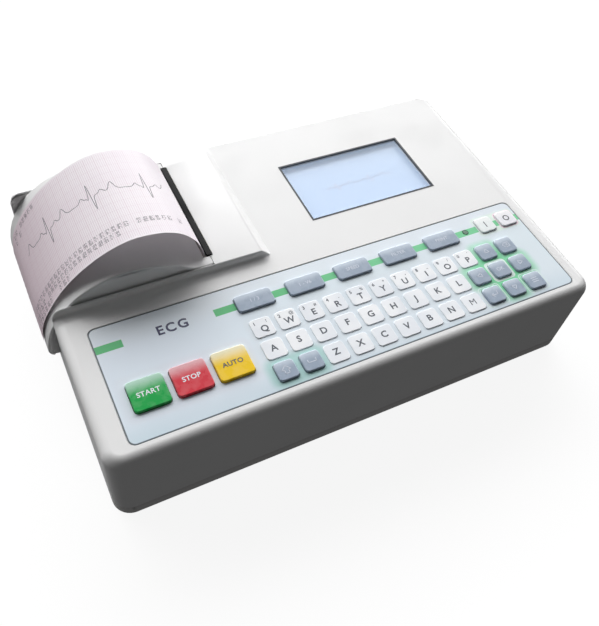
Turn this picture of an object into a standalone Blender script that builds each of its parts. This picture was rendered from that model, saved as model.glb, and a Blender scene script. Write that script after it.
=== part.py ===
"""Portable electrocardiograph with a keyboard, a display and a strip printer under a round lid.

Everything is laid out in the machine's own frame: X across, Y to the back, Z up. Zero is
midway across the case, 90 mm in front of its back wall and 22 mm over its bottom edge, a
little above the floor of the printer bay. The empty "machine" lifts that frame onto the feet
and centres the whole outline, lid and paper included, on the origin.
"""
import math

import bmesh
import bpy
from mathutils import Matrix, Vector

MM = 0.001

# ---------------------------------------------------------------- driving dimensions
LEFT, RIGHT = -129 * MM, 129 * MM
FRONT, BACK = -80 * MM, 90 * MM
BASE_Z = -22 * MM
PLAN_R = 9 * MM
EDGE_R = 5 * MM
WALL = 2.5 * MM
CONSOLE_Z = 29.7 * MM
BLOCK_Z = 33.7 * MM
SEAM_Z = -14.5 * MM
LIP_Z = -11 * MM
GAP = 0.3 * MM
FOOT_H = 2 * MM
PAPER_REACH = 135 * MM

# raised printer block, with a ramp on its front, right and back
BLOCK_RIGHT = -19 * MM
BLOCK_FRONT = -8 * MM
FRONT_RAMP = 9.5 * MM
RIGHT_RAMP = 6 * MM
BACK_RAMP = 12 * MM
COVE = 0.88

# printer bay, cut through the block from the left
BAY_FRONT = 1.6 * MM
BAY_BACK = 78.4 * MM
BAY_FLOOR = -1.2 * MM
FLOOR_RIGHT = -30 * MM
SLOT_X = -49.6 * MM
PAPER_FRONT = 8.8 * MM
PAPER_BACK = 68.8 * MM
BAR_FRONT = 7.8 * MM
BAR_BACK = 73.6 * MM

# lid barrel and its hinge
BARREL_X, BARREL_Z, BARREL_R = -91 * MM, 2 * MM, 43.4 * MM
LID_SKIN = 1.8 * MM
LID_RIM = 0.6 * MM
LID_SIDE_GAP = 0.5 * MM
HINGE_X, HINGE_Z = -129.5 * MM, 4.2 * MM
CURL_R = 4.9 * MM
PIN_R = 1.3 * MM
LUG_W = 5.5 * MM
HINGE_LUGS = (10 * MM, 64.5 * MM)
KNUCKLES = (10 * MM + LUG_W + GAP, 64.5 * MM - LUG_W - GAP)

# paper feed train
PLATEN_X, PLATEN_Z, PLATEN_R = -58.5 * MM, 24.6 * MM, 5.5 * MM
MODULE = 0.8 * MM
PLATEN_TEETH, IDLER_TEETH, PINION_TEETH = 16, 18, 10
GEAR_Y0, GEAR_Y1 = 72.4 * MM, 74.8 * MM
CRADLE_GAP, CRADLE_T = 3.5 * MM, 1.2 * MM
ROLL_X, ROLL_Z, ROLL_R, CORE_R = -88 * MM, 23 * MM, 18 * MM, 7 * MM

# key panel
PANEL_X0, PANEL_X1 = -117.2 * MM, 120.2 * MM
PANEL_Y0, PANEL_Y1 = -73.5 * MM, -11 * MM
PANEL_R = 3.5 * MM
RECESS = 0.8 * MM
FILM_LEDGE = 2.5 * MM
FILM_Z0, FILM_Z1 = 29.2 * MM, 29.6 * MM
KEY_BASE_Z = 28.1 * MM
KEY_PITCH_X, KEY_PITCH_Y = 12.9 * MM, 12.8 * MM
GRID_X0, GRID_Y0 = -42.4 * MM, -39.1 * MM
LETTER_PAD = 10.6 * MM
LED = (84.7 * MM, -22.9 * MM)

# display
DISPLAY = (11.4 * MM, 87.6 * MM, 14.3 * MM, 57.1 * MM)

# fasteners, supports and sockets
SCREWS = {"front_left": (-117 * MM, -74.1 * MM), "front_right": (117 * MM, -74.1 * MM),
          "rear_left": (-112 * MM, 84.1 * MM), "rear_right": (117 * MM, 79 * MM)}
FEET = {"front_left": (-104 * MM, -66 * MM), "front_right": (104 * MM, -66 * MM),
        "rear_left": (-104 * MM, 66 * MM), "rear_right": (104 * MM, 66 * MM)}
BATTERY = (12 * MM, 90 * MM, -60 * MM, -10 * MM)
PORT_Z = -2 * MM

WHITE_PLASTIC = (0.86, 0.86, 0.85)
GREY_KEY = (0.28, 0.32, 0.40)
STEEL = (0.62, 0.63, 0.65)


# ---------------------------------------------------------------- scene and materials
def clear_scene():
    for old in list(bpy.data.objects):
        bpy.data.objects.remove(old, do_unlink=True)
    for old in list(bpy.data.collections):
        bpy.data.collections.remove(old)


def new_collection(name):
    made = bpy.data.collections.new(name)
    bpy.context.scene.collection.children.link(made)
    return made


clear_scene()
PARTS = new_collection("ecg_machine")
CUTTERS = new_collection("cutters")
MACHINE = bpy.data.objects.new("machine", None)
MACHINE.location = ((PAPER_REACH - RIGHT) / 2, -(FRONT + BACK) / 2, FOOT_H - BASE_Z)
PARTS.objects.link(MACHINE)


def material(name, colour, roughness=0.5, metallic=0.0, alpha=1.0):
    made = bpy.data.materials.new(name)
    made.use_nodes = True
    shader = made.node_tree.nodes["Principled BSDF"]
    shader.inputs["Base Color"].default_value = (*colour, 1.0)
    shader.inputs["Roughness"].default_value = roughness
    shader.inputs["Metallic"].default_value = metallic
    shader.inputs["Alpha"].default_value = alpha
    return made


# ---------------------------------------------------------------- shape helpers
def finish_object(name, mesh, is_cutter=False):
    """Link a mesh as a part, or as a wire cutter that is left out of the model."""
    made = bpy.data.objects.new(name, mesh)
    (CUTTERS if is_cutter else PARTS).objects.link(made)
    made.parent = MACHINE
    if is_cutter:
        made.hide_render = True
        made.display_type = "WIRE"
    return made


def mesh_from(bm, name):
    bmesh.ops.recalc_face_normals(bm, faces=bm.faces)
    mesh = bpy.data.meshes.new(name)
    bm.to_mesh(mesh)
    bm.free()
    return mesh


def box(name, x, y, z, is_cutter=False, plan_r=0.0, top_r=0.0, bottom_r=0.0, steps=4):
    """Block between (low, high) pairs, with rounded upright corners and rounded rims."""
    bm = bmesh.new()
    bmesh.ops.create_cube(bm, size=1.0)
    size = Vector((x[1] - x[0], y[1] - y[0], z[1] - z[0]))
    middle = Vector((x[0] + x[1], y[0] + y[1], z[0] + z[1])) / 2
    bmesh.ops.scale(bm, vec=size, verts=bm.verts)
    bmesh.ops.translate(bm, vec=middle, verts=bm.verts)
    if plan_r:
        uprights = [e for e in bm.edges if abs(e.verts[0].co.z - e.verts[1].co.z) > size.z / 2]
        bmesh.ops.bevel(bm, geom=uprights, offset=plan_r, segments=steps, profile=0.5,
                        affect="EDGES", clamp_overlap=False)
    for radius, level in ((top_r, z[1]), (bottom_r, z[0])):
        if radius:
            rim = [e for e in bm.edges if all(abs(v.co.z - level) < 1e-6 for v in e.verts)]
            bmesh.ops.bevel(bm, geom=rim, offset=radius, segments=max(2, steps - 1), profile=0.5,
                            affect="EDGES", clamp_overlap=False)
    return finish_object(name, mesh_from(bm, name), is_cutter)


def cylinder(name, centre, radius, span, axis="Z", sides=24, is_cutter=False):
    """Round bar along an axis; centre is a point on it and span its two ends."""
    bm = bmesh.new()
    bmesh.ops.create_cone(bm, cap_ends=True, segments=sides, radius1=radius, radius2=radius,
                          depth=span[1] - span[0])
    if axis == "Y":
        bmesh.ops.rotate(bm, matrix=Matrix.Rotation(-math.pi / 2, 3, "X"), verts=bm.verts)
    elif axis == "X":
        bmesh.ops.rotate(bm, matrix=Matrix.Rotation(math.pi / 2, 3, "Y"), verts=bm.verts)
    middle = Vector(centre)
    middle["XYZ".index(axis)] = (span[0] + span[1]) / 2
    bmesh.ops.translate(bm, vec=middle, verts=bm.verts)
    return finish_object(name, mesh_from(bm, name), is_cutter)


def outline_solid(name, points, span, is_cutter=False, rim_r=0.0):
    """Flat outline in the XZ plane, given a thickness along Y and, if asked, rounded rims."""
    curve = bpy.data.curves.new(name, "CURVE")
    curve.dimensions = "2D"
    curve.fill_mode = "BOTH"
    curve.extrude = (span[1] - span[0]) / 2
    spline = curve.splines.new("POLY")
    spline.points.add(len(points) - 1)
    for place, (u, v) in zip(spline.points, points):
        place.co = (u, v, 0, 1)
    spline.use_cyclic_u = True
    guide = bpy.data.objects.new(name + "_curve", curve)
    CUTTERS.objects.link(guide)
    seen = guide.evaluated_get(bpy.context.evaluated_depsgraph_get())
    mesh = bpy.data.meshes.new_from_object(seen)
    bpy.data.objects.remove(guide)
    middle = (span[0] + span[1]) / 2
    bm = bmesh.new()
    bm.from_mesh(mesh)
    bmesh.ops.remove_doubles(bm, verts=bm.verts, dist=0.000005)
    bmesh.ops.rotate(bm, matrix=Matrix.Rotation(math.pi / 2, 3, "X"), verts=bm.verts)
    bmesh.ops.translate(bm, vec=(0, middle, 0), verts=bm.verts)
    if rim_r:
        rim = [e for e in bm.edges if abs(e.verts[0].co.y - e.verts[1].co.y) < 1e-6
               and any(abs(f.normal.y) < 0.5 for f in e.link_faces)]
        bmesh.ops.bevel(bm, geom=rim, offset=rim_r, segments=2, profile=0.5, affect="EDGES",
                        clamp_overlap=False)
    return finish_object(name, mesh_from(bm, name), is_cutter)


def turned(name, profile, centre, axis="Z", steps=24):
    """Solid of revolution from (radius, height) points that run from top to bottom."""
    mesh = bpy.data.meshes.new(name)
    closed = profile[0][0] > 0
    edges = [(i, i + 1) for i in range(len(profile) - 1)]
    if closed:
        edges.append((len(profile) - 1, 0))
    mesh.from_pydata([(r, 0, h) for r, h in profile], edges, [])
    made = finish_object(name, mesh)
    made.location = centre
    if axis == "Y":
        made.rotation_euler = (-math.pi / 2, 0, 0)
    screw = made.modifiers.new("turn", "SCREW")
    screw.steps = screw.render_steps = steps
    screw.use_merge_vertices = True
    screw.merge_threshold = 0.00001
    screw.use_smooth_shade = False
    return made


def boolean(target, tool, operation):
    step = target.modifiers.new(tool.name, "BOOLEAN")
    step.operation = operation
    step.solver = "EXACT"
    step.object = tool
    step.show_render = step.show_viewport


def cut(target, *tools):
    for tool in tools:
        boolean(target, tool, "DIFFERENCE")


def join(target, *tools):
    for tool in tools:
        boolean(target, tool, "UNION")


def set_origin(item, point):
    """Move an object's origin to a point of the machine's frame, leaving its shape in place."""
    item.data.transform(Matrix.Translation(-Vector(point)))
    item.location = point


def paint(item, *look, **more):
    item.data.materials.append(material(item.name, *look, **more))
    return item


def arc(cx, cz, radius, start, stop, count):
    """Points along an arc, with angles in degrees."""
    angles = [math.radians(start + (stop - start) * i / (count - 1)) for i in range(count)]
    return [(cx + radius * math.cos(a), cz + radius * math.sin(a)) for a in angles]


def smooth_path(knots, steps):
    """Points on a Catmull-Rom curve through the knots."""
    ends = [knots[0], *knots, knots[-1]]
    path = []
    for a, b, c, d in zip(ends, ends[1:], ends[2:], ends[3:]):
        for i in range(steps):
            t = i / steps
            path.append(tuple(0.5 * (2 * q + (r - p) * t + (2 * p - 5 * q + 4 * r - s) * t ** 2
                                     + (3 * q - p - 3 * r + s) * t ** 3)
                              for p, q, r, s in zip(a, b, c, d)))
    return path + [knots[-1]]


def ribbon(path, inner, outer=0.0):
    """Closed outline of a strip that follows a path, from one side offset to the other."""
    low, high = [], []
    for i, point in enumerate(path):
        before, after = path[max(i - 1, 0)], path[min(i + 1, len(path) - 1)]
        along = Vector((after[0] - before[0], after[1] - before[1])).normalized()
        side = Vector((-along.y, along.x))
        low.append(tuple(Vector(point) + side * inner))
        high.append(tuple(Vector(point) + side * outer))
    return low + high[::-1]


# ---------------------------------------------------------------- case
def cove_rise(t):
    """Rise from 0 to 1: a hollow cove that ends upright, then a small rounded top edge."""
    t = min(max(t, 0.0), 1.0)
    if t < COVE:
        return 0.55 * (1 - math.sqrt(1 - (t / COVE) ** 2))
    return 0.55 + 0.45 * math.sqrt(max(0.0, 1 - ((1 - t) / (1 - COVE)) ** 2))


def cove_steps():
    """Places along a ramp that follow the cove and its rounded edge evenly."""
    hollow = [COVE * math.sin(math.radians(a)) for a in (0, 18, 36, 52, 66, 78, 90)]
    return hollow + [1 - (1 - COVE) * math.cos(math.radians(a)) for a in (30, 60, 90)]


def soft_rise(t):
    t = min(max(t, 0.0), 1.0)
    return t * t * (3 - 2 * t)


def edge_distance(x, y):
    """Distance from a plan point inwards to the case's rounded outline."""
    over_x = abs(x) - (RIGHT - PLAN_R)
    over_y = abs(y - (FRONT + BACK) / 2) - ((BACK - FRONT) / 2 - PLAN_R)
    outside = math.hypot(max(over_x, 0), max(over_y, 0))
    return PLAN_R - outside - min(max(over_x, over_y), 0)


def block_surface(x, y):
    """Height of the printer block's top, which starts just under the console."""
    rise = (cove_rise((y - BLOCK_FRONT) / FRONT_RAMP) * soft_rise((BLOCK_RIGHT - x) / RIGHT_RAMP)
            * soft_rise((BACK - y) / BACK_RAMP))
    under = 0.25 * MM
    level = CONSOLE_Z - under + (BLOCK_Z - CONSOLE_Z + under) * rise
    inset = min(max(edge_distance(x, y), 0.0), EDGE_R)
    return level - (EDGE_R - math.sqrt(EDGE_R ** 2 - (EDGE_R - inset) ** 2))


def printer_block():
    """Raised block as a grid draped over its height rule, with a flat bottom."""
    edge = [EDGE_R * (1 - math.cos(math.radians(a))) for a in (0, 15, 30, 45, 60, 75, 90)]
    xs = [LEFT + e for e in edge] + [LEFT + PLAN_R, -80 * MM, -45 * MM]
    xs += [BLOCK_RIGHT - RIGHT_RAMP * t for t in (1, 0.87, 0.7, 0.5, 0.3, 0.15, 0, -0.3)]
    ys = [BLOCK_FRONT + FRONT_RAMP * t for t in [-0.1] + cove_steps()]
    ys += [30 * MM, 60 * MM, BACK - BACK_RAMP]
    ys += [BACK - e for e in edge[::-1]]
    bm = bmesh.new()
    rows = [[bm.verts.new((x, y, block_surface(x, y))) for x in xs] for y in ys]
    for low, high in zip(rows, rows[1:]):
        for i in range(len(xs) - 1):
            bm.faces.new((low[i], low[i + 1], high[i + 1], high[i]))
    skirt = bmesh.ops.extrude_face_region(bm, geom=bm.faces[:])
    for item in skirt["geom"]:
        if isinstance(item, bmesh.types.BMVert):
            item.co.z = CONSOLE_Z - EDGE_R - 4 * MM
    return finish_object("block_rise", mesh_from(bm, "block_rise"), True)


def add_hinge_lugs(case):
    """Two bored arms that stand on the bay floor and hold the lid's pins."""
    eye_r = 2.7 * MM
    outline = arc(HINGE_X, HINGE_Z, eye_r, 90, 294, 10)
    arm_under = outline[-1][1]
    outline += [(-124.2 * MM, arm_under), (-124.2 * MM, BAY_FLOOR - MM),
                (-121.5 * MM, BAY_FLOOR - MM), (-121.5 * MM, HINGE_Z + eye_r)]
    for y in HINGE_LUGS:
        join(case, outline_solid(f"hinge_lug_{y:.3f}", outline, (y, y + LUG_W), True))
        cut(case, cylinder(f"lug_bore_{y:.3f}", (HINGE_X, 0, HINGE_Z), PIN_R + GAP,
                           (y - MM, y + LUG_W + MM), "Y", 16, True))


def make_top_case():
    case = box("top_case", (LEFT, RIGHT), (FRONT, BACK), (SEAM_Z, CONSOLE_Z), plan_r=PLAN_R,
               top_r=EDGE_R, steps=9)
    rise = printer_block()
    plan = box("case_plan", (LEFT, RIGHT), (FRONT, BACK), (BASE_Z, 2 * BLOCK_Z), True,
               plan_r=PLAN_R, steps=9)
    boolean(rise, plan, "INTERSECT")
    join(case, rise)
    hollow = box("case_hollow", (LEFT + WALL, RIGHT - WALL), (FRONT + WALL, BACK - WALL),
                 (BASE_Z, CONSOLE_Z - WALL), True, plan_r=PLAN_R - WALL, top_r=EDGE_R - WALL,
                 steps=4)
    block_hollow = box("block_hollow", (LEFT + 3 * WALL, BLOCK_RIGHT - RIGHT_RAMP - WALL),
                       (BLOCK_FRONT + FRONT_RAMP + WALL, BACK - BACK_RAMP - WALL),
                       (CONSOLE_Z - 2 * WALL, BLOCK_Z - WALL), True)
    bay = box("bay_cut", (2 * LEFT, SLOT_X), (BAY_FRONT, BAY_BACK), (BAY_FLOOR, 2 * BLOCK_Z),
              True)
    plates = [box("bay_wall_front", (2 * LEFT, SLOT_X + WALL), (BAY_FRONT - WALL, BAY_FRONT),
                  (BAY_FLOOR - MM, BLOCK_Z), True),
              box("bay_wall_back", (2 * LEFT, SLOT_X + WALL), (BAY_BACK, BAY_BACK + WALL),
                  (BAY_FLOOR - MM, BLOCK_Z), True),
              box("bay_floor", (2 * LEFT, FLOOR_RIGHT), (BAY_FRONT - WALL, BAY_BACK + WALL),
                  (BAY_FLOOR - WALL, BAY_FLOOR), True)]
    bosses = [cylinder("boss_" + where, (x, y, 0), 3 * MM, (LIP_Z + GAP, BLOCK_Z), sides=16,
                       is_cutter=True) for where, (x, y) in SCREWS.items()]
    cut(hollow, *plates, *bosses)
    cut(case, hollow, block_hollow, bay)
    add_hinge_lugs(case)
    holes = [cylinder("pilot_" + where, (x, y, 0), 1.7 * MM, (BASE_Z, BASE_Z + 20 * MM), sides=12,
                      is_cutter=True) for where, (x, y) in SCREWS.items()]
    x0, x1, y0, y1 = DISPLAY
    window = box("display_cut", (x0, x1), (y0, y1), (CONSOLE_Z / 2, BLOCK_Z), True)
    recess = box("film_recess", (PANEL_X0, PANEL_X1), (PANEL_Y0, PANEL_Y1),
                 (CONSOLE_Z - RECESS, BLOCK_Z), True, plan_r=PANEL_R, steps=4)
    ledge = FILM_LEDGE
    well = box("key_well", (PANEL_X0 + ledge, PANEL_X1 - ledge),
               (PANEL_Y0 + ledge, PANEL_Y1 - ledge), (CONSOLE_Z / 2, BLOCK_Z), True)
    bar_seat = box("bar_seat", (SLOT_X - MM, SLOT_X + 1.6 * MM),
                   (BAR_FRONT - GAP, BAR_BACK + GAP), (31.3 * MM, BLOCK_Z + MM), True)
    sockets = [box("patient_socket", (-12 * MM, 30 * MM), (BACK - 5 * MM, BACK + MM),
                   (PORT_Z - 6.5 * MM, PORT_Z + 6.5 * MM), True),
               box("inlet_socket", (58 * MM, 80 * MM), (BACK - 5 * MM, BACK + MM),
                   (PORT_Z - 6 * MM, PORT_Z + 6 * MM), True),
               cylinder("pin_socket", (100 * MM, 0, PORT_Z), 4.2 * MM,
                        (BACK - 5 * MM, BACK + MM), "Y", 16, True)]
    cut(case, *holes, window, recess, well, bar_seat, *sockets)
    return paint(case, WHITE_PLASTIC, 0.45)


def make_bottom_case():
    lip = WALL + GAP
    inner = lip + 1.8 * MM
    clear = BASE_Z + 20 * MM
    tray = box("bottom_case", (LEFT, RIGHT), (FRONT, BACK), (BASE_Z, SEAM_Z - GAP),
               plan_r=PLAN_R, bottom_r=1.6 * MM, steps=9)
    rim = box("tray_lip", (LEFT + lip, RIGHT - lip), (FRONT + lip, BACK - lip),
              (BASE_Z + MM, LIP_Z), True, plan_r=PLAN_R - lip, steps=4)
    join(tray, rim)
    cut(tray, box("tray_hollow", (LEFT + inner, RIGHT - inner), (FRONT + inner, BACK - inner),
                  (BASE_Z + WALL, clear), True, plan_r=PLAN_R - inner, steps=4))
    for where, (x, y) in SCREWS.items():
        tower = cylinder("tower_" + where, (x, y, 0), 3.1 * MM, (BASE_Z + MM, LIP_Z), sides=16,
                         is_cutter=True)
        join(tray, tower)
        cut(tray, cylinder("sink_" + where, (x, y, 0), 2.8 * MM,
                           (BASE_Z - MM, BASE_Z + 2.2 * MM), sides=16, is_cutter=True),
            cylinder("shank_hole_" + where, (x, y, 0), 1.7 * MM, (BASE_Z, clear), sides=12,
                     is_cutter=True))
    for where, (x, y) in FEET.items():
        cut(tray, cylinder("foot_seat_" + where, (x, y, 0), 6.3 * MM,
                           (BASE_Z - MM, BASE_Z + MM), sides=24, is_cutter=True))
    x0, x1, y0, y1 = BATTERY
    cut(tray, box("battery_opening", (x0 - 2 * MM, x1 + 2 * MM), (y0 - 2 * MM, y1 + 2 * MM),
                  (BASE_Z - MM, clear), True, plan_r=2 * MM, steps=2))
    for x in (-12 * MM, 104 * MM):
        for y in (2 * MM, 72 * MM):
            join(tray, cylinder(f"standoff_{x:.3f}_{y:.3f}", (x, y, 0), 2.5 * MM,
                                (BASE_Z + MM, BASE_Z + 5.7 * MM), sides=12, is_cutter=True))
    return paint(tray, WHITE_PLASTIC, 0.5)


# ---------------------------------------------------------------- lid and paper
def lid_path():
    """Outer line of the lid: round the hinge, over the barrel, and down to the flat tip."""
    curl = arc(HINGE_X, HINGE_Z, CURL_R, 240, 185, 5)
    barrel = arc(BARREL_X, BARREL_Z, BARREL_R, 172, 66, 15)
    sweep = smooth_path([barrel[-1], (-66.5 * MM, 38.6 * MM), (-60.5 * MM, 34.6 * MM),
                         (-55.5 * MM, BLOCK_Z), (-50 * MM, BLOCK_Z)], 2)
    return curl + barrel + sweep[1:]


def make_lid():
    low, high = BAY_FRONT + LID_SIDE_GAP, BAY_BACK - LID_SIDE_GAP
    lid = outline_solid("paper_lid", ribbon(lid_path(), -LID_SKIN), (low, high), rim_r=LID_RIM)
    skin = LID_SKIN / 2
    boss = arc(HINGE_X, HINGE_Z, CURL_R - 0.6 * MM, 360, 190, 12)
    barrel = arc(BARREL_X, BARREL_Z, BARREL_R - skin, 172, 66, 13)
    cheek = boss + barrel + [(-61 * MM, 34 * MM), (-52.2 * MM, BLOCK_Z - skin),
                             (-52.2 * MM, 22 * MM), (-64.5 * MM, 21.5 * MM), (-68 * MM, 31 * MM),
                             (-110 * MM, 31 * MM), (-120 * MM, 21 * MM)]
    inset = LID_RIM + 0.2 * MM
    for side, (y0, y1) in enumerate(((low + inset, low + inset + LID_SKIN),
                                     (high - inset - LID_SKIN, high - inset))):
        join(lid, outline_solid(f"lid_cheek_{side}", cheek, (y0, y1), True))
    for side, y in enumerate(KNUCKLES):
        eye = cylinder(f"lid_eye_{side}", (HINGE_X, 0, HINGE_Z), 3.9 * MM, (y, y + LUG_W), "Y",
                       20, True)
        join(lid, eye)
        cut(lid, cylinder(f"lid_bore_{side}", (HINGE_X, 0, HINGE_Z), PIN_R + GAP,
                          (y - MM, y + LUG_W + MM), "Y", 16, True))
    cut(lid, cylinder("lid_bearings", (PLATEN_X, 0, PLATEN_Z), 2.3 * MM, (0, 80 * MM), "Y", 16,
                      True),
        box("lid_mouth", (-53.2 * MM, -40 * MM), (BAR_FRONT - 2 * GAP, BAR_BACK + 2 * GAP),
            (20 * MM, 40 * MM), True))
    set_origin(lid, (HINGE_X, (low + high) / 2, HINGE_Z))
    return paint(lid, WHITE_PLASTIC, 0.45)


def make_paper_strip():
    knots = [(-52.2, 31.6), (-52.2, 35), (-55, 43), (-60, 50), (-66, 54.6), (-75, 57.6), (-87, 58),
             (-99, 54), (-111, 46.5), (-121, 36.8), (-128.8, 25.6), (-133.2, 16), (-134.85, 5)]
    path = smooth_path([(x * MM, z * MM) for x, z in knots], 3)
    strip = outline_solid("paper_strip", ribbon(path, 0.15 * MM, -0.15 * MM),
                          (PAPER_FRONT, PAPER_BACK))
    set_origin(strip, (HINGE_X, (PAPER_FRONT + PAPER_BACK) / 2, HINGE_Z))
    return paint(strip, (0.93, 0.85, 0.87), 0.7)


def make_hinge_pins():
    for name, y0 in (("lid_hinge_pin_front", HINGE_LUGS[0]),
                     ("lid_hinge_pin_rear", HINGE_LUGS[1] - LUG_W - GAP)):
        pin = cylinder(name, (HINGE_X, 0, HINGE_Z), PIN_R, (y0 - 0.4 * MM, y0 + 2 * LUG_W + MM),
                       "Y", 16)
        set_origin(pin, (HINGE_X, y0 + LUG_W, HINGE_Z))
        paint(pin, STEEL, 0.3, 1.0)


# ---------------------------------------------------------------- paper feed
def gear_outline(teeth, turn):
    """Outline of a gear with straight-flanked teeth, thinned to leave room in mesh."""
    pitch_r = MODULE * teeth / 2
    tip, root = pitch_r + 0.72 * MODULE, pitch_r - 1.15 * MODULE
    step = 2 * math.pi / teeth
    points = []
    for tooth in range(teeth):
        middle = turn + tooth * step
        for radius, offset in ((root, -0.30), (tip, -0.10), (tip, 0.10), (root, 0.30)):
            angle = middle + offset * step
            points.append((radius * math.cos(angle), radius * math.sin(angle)))
    return points


def make_gear(name, centre, teeth, turn, bore_r=0.0, shaft=None):
    outline = [(centre[0] + u, centre[1] + v) for u, v in gear_outline(teeth, turn)]
    gear = outline_solid(name, outline, (GEAR_Y0, GEAR_Y1))
    if bore_r:
        cut(gear, cylinder(name + "_bore", (centre[0], 0, centre[1]), bore_r,
                           (GEAR_Y0 - MM, GEAR_Y1 + MM), "Y", 16, True))
    if shaft:
        join(gear, cylinder(name + "_shaft", (centre[0], 0, centre[1]), shaft[0], shaft[1], "Y",
                            12, True))
    set_origin(gear, (centre[0], (GEAR_Y0 + GEAR_Y1) / 2, centre[1]))
    return gear


def gear_centres():
    """Platen, idler and pinion centres. The idler lies where the opening lid leaves it straight."""
    platen = Vector((PLATEN_X, PLATEN_Z))
    arm = (platen - Vector((HINGE_X, HINGE_Z))).normalized()
    away = Vector((arm.y, -arm.x))
    idler = platen + away * MODULE * (PLATEN_TEETH + IDLER_TEETH) / 2
    pinion = idler + Vector((MODULE * (IDLER_TEETH + PINION_TEETH) / 2, 0))
    return platen, idler, pinion


def make_feed():
    platen, idler, pinion = gear_centres()
    line = math.atan2(platen.y - idler.y, platen.x - idler.x)
    tooth = 2 * math.pi / IDLER_TEETH
    idler_turn = line
    platen_turn = line + math.pi + math.pi / PLATEN_TEETH
    off_tooth = (idler_turn / tooth) % 1.0
    pinion_turn = math.pi + (0.5 - off_tooth) * 2 * math.pi / PINION_TEETH
    shaft = cylinder("platen_shaft", (PLATEN_X, 0, PLATEN_Z), 1.9 * MM,
                     (3 * MM, 77 * MM), "Y", 16)
    set_origin(shaft, (PLATEN_X, (PAPER_FRONT + PAPER_BACK) / 2, PLATEN_Z))
    paint(shaft, STEEL, 0.3, 1.0)
    half = (PAPER_BACK - PAPER_FRONT) / 2 + 0.6 * MM
    inner = 1.9 * MM + GAP
    roller = turned("platen_roller", [(PLATEN_R, half), (PLATEN_R, -half), (inner, -half),
                                      (inner, half)],
                    (PLATEN_X, (PAPER_FRONT + PAPER_BACK) / 2, PLATEN_Z), "Y")
    paint(roller, (0.03, 0.03, 0.03), 0.75)
    paint(make_gear("platen_gear", platen, PLATEN_TEETH, platen_turn, inner),
          (0.85, 0.83, 0.78), 0.5)
    paint(make_gear("idler_gear", idler, IDLER_TEETH, idler_turn, 1.8 * MM),
          (0.85, 0.83, 0.78), 0.5)
    paint(make_gear("motor_pinion", pinion, PINION_TEETH, pinion_turn,
                    shaft=(1 * MM, (70.9 * MM, GEAR_Y1 - MM))), (0.75, 0.6, 0.25), 0.35,
          metallic=1.0)
    foot = BAY_FLOOR + GAP
    plate = box("printer_frame", (idler.x - 9 * MM, pinion.x + 11 * MM), (71.1 * MM, 72 * MM),
                (foot, 20 * MM))
    join(plate, box("frame_foot", (idler.x - 9 * MM, idler.x - MM), (60 * MM, 71.5 * MM),
                    (foot, foot + 0.9 * MM), True),
         cylinder("idler_stud", (idler.x, 0, idler.y), 1.5 * MM, (71.5 * MM, 75.6 * MM), "Y", 16,
                  True))
    cut(plate, cylinder("pinion_hole", (pinion.x, 0, pinion.y), 1.4 * MM,
                        (70 * MM, 73 * MM), "Y", 12, True))
    paint(plate, STEEL, 0.35, 1.0)
    motor = turned("feed_motor", [(0, 13 * MM), (8 * MM, 13 * MM), (8 * MM, -9 * MM),
                                  (7 * MM, -11 * MM), (0, -11 * MM)],
                   (pinion.x, 57.5 * MM, pinion.y), "Y", 20)
    paint(motor, STEEL, 0.4, 1.0)


def make_roll():
    middle = (PAPER_FRONT + PAPER_BACK) / 2
    half = (PAPER_BACK - PAPER_FRONT) / 2
    roll = turned("paper_roll", [(ROLL_R, half), (ROLL_R, -half), (CORE_R, -half), (CORE_R, half)],
                  (ROLL_X, middle, ROLL_Z), "Y", 32)
    paint(roll, (0.93, 0.88, 0.89), 0.75)
    core = turned("roll_core", [(CORE_R - GAP, half), (CORE_R - GAP, -half),
                                (CORE_R - 1.5 * MM, -half), (CORE_R - 1.5 * MM, half)],
                  (ROLL_X, middle, ROLL_Z), "Y", 20)
    paint(core, (0.6, 0.6, 0.62), 0.6)
    trough = arc(ROLL_X, ROLL_Z, ROLL_R + 2.2 * MM, 182, 358, 17)
    cradle = outline_solid("paper_cradle", ribbon(trough, CRADLE_T),
                           (BAY_FRONT + CRADLE_GAP, BAY_BACK - CRADLE_GAP))
    bed = arc(ROLL_X, ROLL_Z, ROLL_R + 1.6 * MM, 182, 358, 17)
    inset = CRADLE_GAP + GAP
    for side, y in enumerate((BAY_FRONT + inset, BAY_BACK - inset - CRADLE_T)):
        join(cradle, outline_solid(f"cradle_end_{side}", bed, (y, y + CRADLE_T), True),
             box(f"cradle_foot_{side}", (ROLL_X - 4 * MM, ROLL_X + 4 * MM),
                 ((14 + 48 * side) * MM, (18 + 48 * side) * MM),
                 (BAY_FLOOR + GAP, 3.5 * MM), True))
    paint(cradle, (0.55, 0.56, 0.58), 0.5)


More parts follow.
